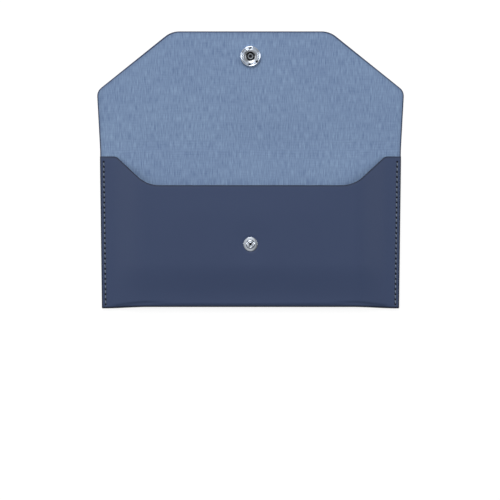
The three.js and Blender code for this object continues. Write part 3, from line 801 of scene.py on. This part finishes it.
def add(tree, kind, inputs=None, **settings):
    """Adds a node with its settings. An input is a value, or an output to link from."""
    made = tree.nodes.new("ShaderNode" + kind)
    for name, value in settings.items():
        setattr(made, name, value)
    for socket, value in (inputs or {}).items():
        if isinstance(value, bpy.types.NodeSocket):
            tree.links.new(value, made.inputs[socket])
        else:
            made.inputs[socket].default_value = value
    return made


def per_metre(size):
    """Scale of a noise on coordinates in metres whose cells are this many millimetres wide."""
    return 1000 / size


def new_material(name):
    """An empty node material and its output node."""
    material = bpy.data.materials.new(name)
    material.use_nodes = True
    tree = material.node_tree
    tree.nodes.clear()
    return material, tree, add(tree, "OutputMaterial")


def smooth_pu_leather():
    """Navy PU leather: a rolled, printed skin, satin rather than glossy, with only a faint grain of
    pebbles 0.7 mm wide and a slow unevenness of 11 mm. Its tone wanders in clouds of 45 mm and a
    mottle of 4 mm. Its cut edges are painted darker; at the sides and the mouth that dark band is
    partly painted shade. The dark band along the bottom fold is painted shade, and the stitch holes
    are painted nearly black, which is painted shade in the pits."""
    material, tree, output = new_material("smooth_pu_leather_navy")
    place = add(tree, "TexCoord").outputs["UV"]
    cloud = add(tree, "TexNoise", {
        "Vector": place, "Scale": per_metre(45.5), "Detail": 3.0, "Roughness": 0.5,
    })
    mottle = add(tree, "TexNoise", {
        "Vector": place, "Scale": per_metre(3.85), "Detail": 4.0, "Roughness": 0.6,
    })
    tone = add(tree, "Mix", {
        0: cloud.outputs["Fac"], 6: colour("#364260"), 7: colour("#3b4866"),
    }, data_type="RGBA")
    toned = add(tree, "Mix", {
        0: mottle.outputs["Fac"], 6: tone.outputs[2], 7: colour("#394663"),
    }, data_type="RGBA")
    edge = add(tree, "Attribute", attribute_name="paint").outputs["Fac"]
    painted = add(tree, "Mix", {0: edge, 6: toned.outputs[2], 7: colour("#151b28")}, data_type="RGBA")
    # Painted shade: the stitch holes are painted nearly black.
    near = add(tree, "Attribute", attribute_name="hole").outputs["Fac"]
    hole = add(tree, "MapRange", {"Value": near, 1: 0.15, 2: 0.6, 3: 0.0, 4: 0.95})
    hole_shade_dark = add(tree, "Mix", {
        0: hole.outputs[0], 6: painted.outputs[2], 7: colour("#05070c"),
    }, data_type="RGBA")
    grain = add(tree, "TexVoronoi", {
        "Vector": place, "Scale": per_metre(0.667), "Randomness": 1.0,
    }, feature="SMOOTH_F1")
    slow = add(tree, "TexNoise", {"Vector": place, "Scale": per_metre(11.1), "Detail": 2.0})
    relief = add(tree, "Math", {0: grain.outputs["Distance"], 1: slow.outputs["Fac"]}, operation="ADD")
    bump = add(tree, "Bump", {"Height": relief.outputs[0], "Strength": 0.12, "Distance": 0.00008})
    gloss = add(tree, "MapRange", {"Value": mottle.outputs["Fac"], 1: 0.3, 2: 0.7, 3: 0.44, 4: 0.52})
    shader = add(tree, "BsdfPrincipled", {
        "Base Color": hole_shade_dark.outputs[2], "Roughness": gloss.outputs[0], "Normal": bump.outputs[0],
        "IOR": 1.46, "Specular IOR Level": 0.27,
    })
    tree.links.new(shader.outputs[0], output.inputs[0])
    return material


def woven_lining():
    """Steel-blue lining cloth with a linen look: its warp is uneven, so pale and dark streaks about
    5 mm long run along it, with fainter ones of 8 mm across. The yarns lie 0.5 mm apart on the real
    cloth, and are drawn 1 mm apart, which is the finest that shows at this size: each takes a pale
    and a dark cell."""
    material, tree, output = new_material("woven_linen_look_lining")
    place = add(tree, "TexCoord").outputs["UV"]
    yarn = per_metre(0.5)
    streaks = []
    for across, along in ((yarn, per_metre(5.26)), (per_metre(7.69), yarn)):
        stretched = add(tree, "Mapping", {"Vector": place, "Scale": (across, along, 1.0)})
        streak = add(tree, "TexNoise", {
            "Vector": stretched.outputs[0], "Scale": 1.0, "Detail": 2.0, "Roughness": 0.5,
        })
        streaks.append(streak.outputs["Fac"])
    crossed = add(tree, "Mix", {0: 0.22, 2: streaks[0], 3: streaks[1]}, data_type="FLOAT")
    spread = add(tree, "MapRange", {"Value": crossed.outputs[0], 1: 0.33, 2: 0.67, 3: 0.0, 4: 1.0})
    tone = add(tree, "Mix", {
        0: spread.outputs[0], 6: colour("#667da0"), 7: colour("#89a1bf"),
    }, data_type="RGBA")
    cloud = add(tree, "TexNoise", {"Vector": place, "Scale": per_metre(33.3), "Detail": 2.0})
    shade = add(tree, "Mix", {
        0: cloud.outputs["Fac"], 6: colour("#e4e6ee"), 7: colour("#ffffff"),
    }, data_type="RGBA")
    mottled = add(tree, "Mix", {
        0: 1.0, 6: tone.outputs[2], 7: shade.outputs[2],
    }, data_type="RGBA", blend_type="MULTIPLY")
    # The mark darkens the lining towards its edge.
    edge = add(tree, "Attribute", attribute_name="paint").outputs["Fac"]
    cut = add(tree, "Mix", {0: edge, 6: mottled.outputs[2], 7: colour("#3c4c6b")}, data_type="RGBA")
    bump = add(tree, "Bump", {"Height": spread.outputs[0], "Strength": 0.5, "Distance": 0.00012})
    shader = add(tree, "BsdfPrincipled", {
        "Base Color": cut.outputs[2], "Roughness": 0.78, "Normal": bump.outputs[0],
        "Sheen Weight": 0.12, "Sheen Roughness": 0.5, "IOR": 1.45,
    })
    tree.links.new(shader.outputs[0], output.inputs[0])
    return material


def polyester_thread():
    """Navy polyester sewing thread: three plies twisted together, with a soft sheen on each. Its
    fibres are far too fine to show, so their fuzz is drawn 0.2 mm wide. It is painted darker where
    it goes down into its hole, as painted shade."""
    material, tree, output = new_material("twisted_polyester_thread_navy")
    place = add(tree, "TexCoord").outputs["Object"]
    fibre = add(tree, "TexNoise", {"Vector": place, "Scale": per_metre(0.1923), "Detail": 2.0})
    tone = add(tree, "Mix", {
        0: fibre.outputs["Fac"], 6: colour("#47536a"), 7: colour("#88939f"),
    }, data_type="RGBA")
    # Painted shade where the thread goes down into its hole.
    sunk = add(tree, "Attribute", attribute_name="sunk").outputs["Fac"]
    shaded = add(tree, "Mix", {0: sunk, 6: tone.outputs[2], 7: colour("#0a0d14")}, data_type="RGBA")
    bump = add(tree, "Bump", {"Height": fibre.outputs["Fac"], "Strength": 0.3, "Distance": 0.00004})
    shader = add(tree, "BsdfPrincipled", {
        "Base Color": shaded.outputs[2], "Roughness": 0.5, "Normal": bump.outputs[0],
        "Sheen Weight": 0.15, "Sheen Roughness": 0.4, "IOR": 1.5,
    })
    tree.links.new(shader.outputs[0], output.inputs[0])
    return material


def plated_metal(name, pale, dark, low, high):
    """Pressed metal with a bright coat: nearly a mirror, with a faint haze of handling marks that
    changes its gloss every 2 mm or so, and hair-fine scratches, drawn 0.1 mm wide, which is wider
    than real ones, so that they show close up. Where the dull mark is set, mostly in its recesses,
    it is rougher and its colour is darkened, which is painted shade."""
    material, tree, output = new_material(name)
    place = add(tree, "TexCoord").outputs["Object"]
    haze = add(tree, "TexNoise", {
        "Vector": place, "Scale": per_metre(2.38), "Detail": 4.0, "Roughness": 0.65,
    })
    tone = add(tree, "Mix", {
        0: haze.outputs["Fac"], 6: colour(dark), 7: colour(pale),
    }, data_type="RGBA")
    # The dull mark darkens the colour towards near black: painted shade in the recesses.
    dull = add(tree, "Attribute", attribute_name="dull").outputs["Fac"]
    recess_shade_dark = add(tree, "Mix", {0: dull, 6: tone.outputs[2], 7: colour("#26282b")}, data_type="RGBA")
    bright = add(tree, "MapRange", {"Value": haze.outputs["Fac"], 1: 0.3, 2: 0.75, 3: low, 4: high})
    gloss = add(tree, "Mix", {0: dull, 2: bright.outputs[0], 3: 0.5}, data_type="FLOAT")
    across, along = per_metre(0.1111), per_metre(1.43)
    drawn = add(tree, "Mapping", {
        "Vector": place, "Scale": (across, along, along), "Rotation": (0, 0, 0.5),
    })
    hairs = add(tree, "TexNoise", {"Vector": drawn.outputs[0], "Scale": 1.0, "Detail": 2.0})
    bump = add(tree, "Bump", {"Height": hairs.outputs["Fac"], "Strength": 0.06, "Distance": 0.00002})
    shader = add(tree, "BsdfPrincipled", {
        "Base Color": recess_shade_dark.outputs[2], "Metallic": 1.0, "Roughness": gloss.outputs[0],
        "Normal": bump.outputs[0],
    })
    tree.links.new(shader.outputs[0], output.inputs[0])
    return material


# Table, light and camera

def pale_table():
    """A white sweep under the wallet. To the camera, and in what metal mirrors, most of its white
    is its own, so that the soft shadow stays pale; the light it throws on the wallet is plain."""
    material, tree, output = new_material("matt_white_table")
    path = add(tree, "LightPath").outputs
    seen = add(tree, "Math", {0: path["Is Camera Ray"], 1: path["Is Glossy Ray"]}, operation="MAXIMUM")
    seen = add(tree, "Math", {0: seen.outputs[0], 1: path["Is Transmission Ray"]}, operation="MAXIMUM")
    plain = add(tree, "BsdfDiffuse", {"Color": colour("#e6e6e6")})
    faint = add(tree, "BsdfDiffuse", {"Color": colour("#7c7c7c")})
    glow = add(tree, "Emission", {"Color": colour("#ffffff"), "Strength": 0.86})
    bright = add(tree, "AddShader", {0: faint.outputs[0], 1: glow.outputs[0]})
    mixed = add(tree, "MixShader", {0: seen.outputs[0], 1: plain.outputs[0], 2: bright.outputs[0]})
    tree.links.new(mixed.outputs[0], output.inputs[0])
    mesh = bpy.data.meshes.new("table")
    # A hair under the wallet's back, so that no two faces share a plane
    reach, drop = 3.0, 0.0002
    corners = [(x * reach, y * reach, -drop) for x, y in ((-1, -1), (1, -1), (1, 1), (-1, 1))]
    mesh.from_pydata(corners, [], [(0, 1, 2, 3)])
    mesh.materials.append(material)
    table = bpy.data.objects.new("table", mesh)
    bpy.context.scene.collection.objects.link(table)


def sky():
    """Even studio light from all round: brightest in a broad band overhead, along the wallet's
    depth, weaker on the left and towards the viewer, and weakest on the right. Crowned metal
    mirrors the band."""
    world = bpy.data.worlds.new("studio")
    bpy.context.scene.world = world
    world.use_nodes = True
    tree = world.node_tree
    tree.nodes.clear()
    way = add(tree, "SeparateXYZ", {0: add(tree, "TexCoord").outputs["Generated"]}).outputs
    left = add(tree, "MapRange", {"Value": way[0], 1: -0.5, 2: -0.1, 3: 0.38, 4: 0.85})
    right = add(tree, "MapRange", {"Value": way[0], 1: 0.1, 2: 0.3, 3: 0.85, 4: 0.25})
    band = add(tree, "Math", {0: left.outputs[0], 1: right.outputs[0]}, operation="MINIMUM")
    rise = add(tree, "MapRange", {"Value": way[2], 1: 0.0, 2: 0.5, 3: 0.4, 4: 1.0})
    risen = add(tree, "Math", {0: band.outputs[0], 1: rise.outputs[0]}, operation="MULTIPLY")
    front = add(tree, "MapRange", {"Value": way[1], 1: -0.6, 2: 0.1, 3: 0.45, 4: 1.0})
    level = add(tree, "Math", {0: risen.outputs[0], 1: front.outputs[0]}, operation="MULTIPLY")
    seen = add(tree, "LightPath").outputs["Is Camera Ray"]
    strength = add(tree, "Mix", {0: seen, 2: level.outputs[0], 3: 1.0}, data_type="FLOAT")
    light = add(tree, "Background", {0: colour("#ffffff"), 1: strength.outputs[0]})
    tree.links.new(light.outputs[0], add(tree, "OutputWorld").inputs[0])


def softbox(name, place, size, power):
    """A square lamp, its place and size in metres and its power in watts, turned to face the
    wallet's middle."""
    lamp = bpy.data.lights.new(name, "AREA")
    lamp.shape = "SQUARE"
    lamp.size = size
    lamp.energy = power
    made = bpy.data.objects.new(name, lamp)
    made.location = place
    made.rotation_euler = (-Vector(place)).to_track_quat("-Z", "Y").to_euler()
    bpy.context.scene.collection.objects.link(made)


# The photograph's frame: 500 pixels across, with the wallet's middle and its crease at these pixels
PHOTO_SIZE = 500
MM_PER_PIXEL = 0.57
CREASE_PIXEL_Y = 150
MIDDLE_PIXEL_X = 250.5
LENS = 120
SENSOR = 36


def camera():
    """Looks straight down on the middle of the open wallet, from far enough for little
    perspective. The lens shift puts the wallet in the upper part of the frame, as photographed."""
    width = PHOTO_SIZE * MM_PER_PIXEL / 1000
    data = bpy.data.cameras.new("camera")
    data.lens = LENS
    data.sensor_width = SENSOR
    data.clip_end = 20
    made = bpy.data.objects.new("camera", data)
    made.location = (0, 0, width * LENS / SENSOR + SHEET / 1000)
    centre_y = CREASE_Y / 1000 - (PHOTO_SIZE / 2 - CREASE_PIXEL_Y) * MM_PER_PIXEL / 1000
    data.shift_x = (PHOTO_SIZE / 2 - MIDDLE_PIXEL_X) / PHOTO_SIZE
    data.shift_y = centre_y / width
    bpy.context.scene.collection.objects.link(made)
    bpy.context.scene.camera = made


# The whole wallet

def build():
    """Makes every piece and dresses it."""
    leather = smooth_pu_leather()
    lining = woven_lining()
    thread = polyester_thread()
    chrome = plated_metal("chrome_plated_brass", "#ebf2fb", "#d8e1ee", 0.08, 0.2)
    steel = plated_metal("tempered_spring_wire", "#b9bbbd", "#8d9093", 0.25, 0.4)

    crease = [hinge - CREASE_Y for hinge in HINGES]
    joins = [MOUTH - CREASE_RUN, (crease[0] + crease[1]) / 2, crease[1] + HINGE_STEP / 2]

    back = pocket_leather(joins[0], leather)
    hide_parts("back_panel", "bottom_fold", "front_panel")
    inside = pocket_lining(joins[0], lining)
    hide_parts("back_lining", "bottom_fold_lining", "front_lining")

    for i in range(2):
        rows = np.linspace(joins[i], joins[i + 1], 19)
        for layer, middle, thick, inset, finish, slot in (
            ("leather", SKIN_MIDDLE, SKIN, 0, leather, "outer_leather"),
            ("lining", LINING_MIDDLE, LINING, LINING_INSET, lining, "lining"),
        ):
            strip = open_stretch(f"crease_{layer}_{i + 1}", rows, middle, thick, inset, finish, None)
            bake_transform(strip)
            if i == 0:
                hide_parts("crease_strip" + ("_lining" if layer == "lining" else ""))

    flap = open_stretch(
        "flap_leather", flap_rows(joins[2], 0), SKIN_MIDDLE, SKIN, 0, leather, "flap", True,
    )
    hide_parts("flap_panel")
    backing = open_stretch(
        "flap_lining_cloth", flap_rows(joins[2], LINING_INSET), LINING_MIDDLE, LINING, LINING_INSET,
        lining, "flap", True,
    )
    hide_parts("flap_lining")

    for side_name, side in (("left", -1), ("right", 1)):
        for kind, face, facing in (("needle", SEAM_TOP, 1), ("bobbin", CHANNEL_DEPTH - 0.1, -1)):
            strand = seam_thread(f"{side_name}_{kind}_stitches", side, face, facing, thread)
            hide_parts(f"{side_name}_{kind}_thread")

    for piece, node, slot in (
        (snap_stud(chrome), "snap_stud", "snap_metal"),
        (stud_rivet(chrome), "stud_rivet", "snap_metal"),
        (snap_cap(chrome), "snap_cap", "snap_metal"),
        (snap_socket(chrome), "snap_socket", "snap_metal"),
        (socket_spring(steel), "socket_spring", "spring_steel"),
    ):
        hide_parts(node)


build()
pale_table()
sky()
softbox("key", (-0.2, 0.95, 0.95), 0.7, 9.5)
softbox("left_fill", (-1.0, 0.2, 0.7), 0.6, 3.6)
softbox("right_fill", (1.0, 0.2, 0.7), 0.6, 4.3)
camera()
bpy.context.scene.view_settings.view_transform = "Standard"
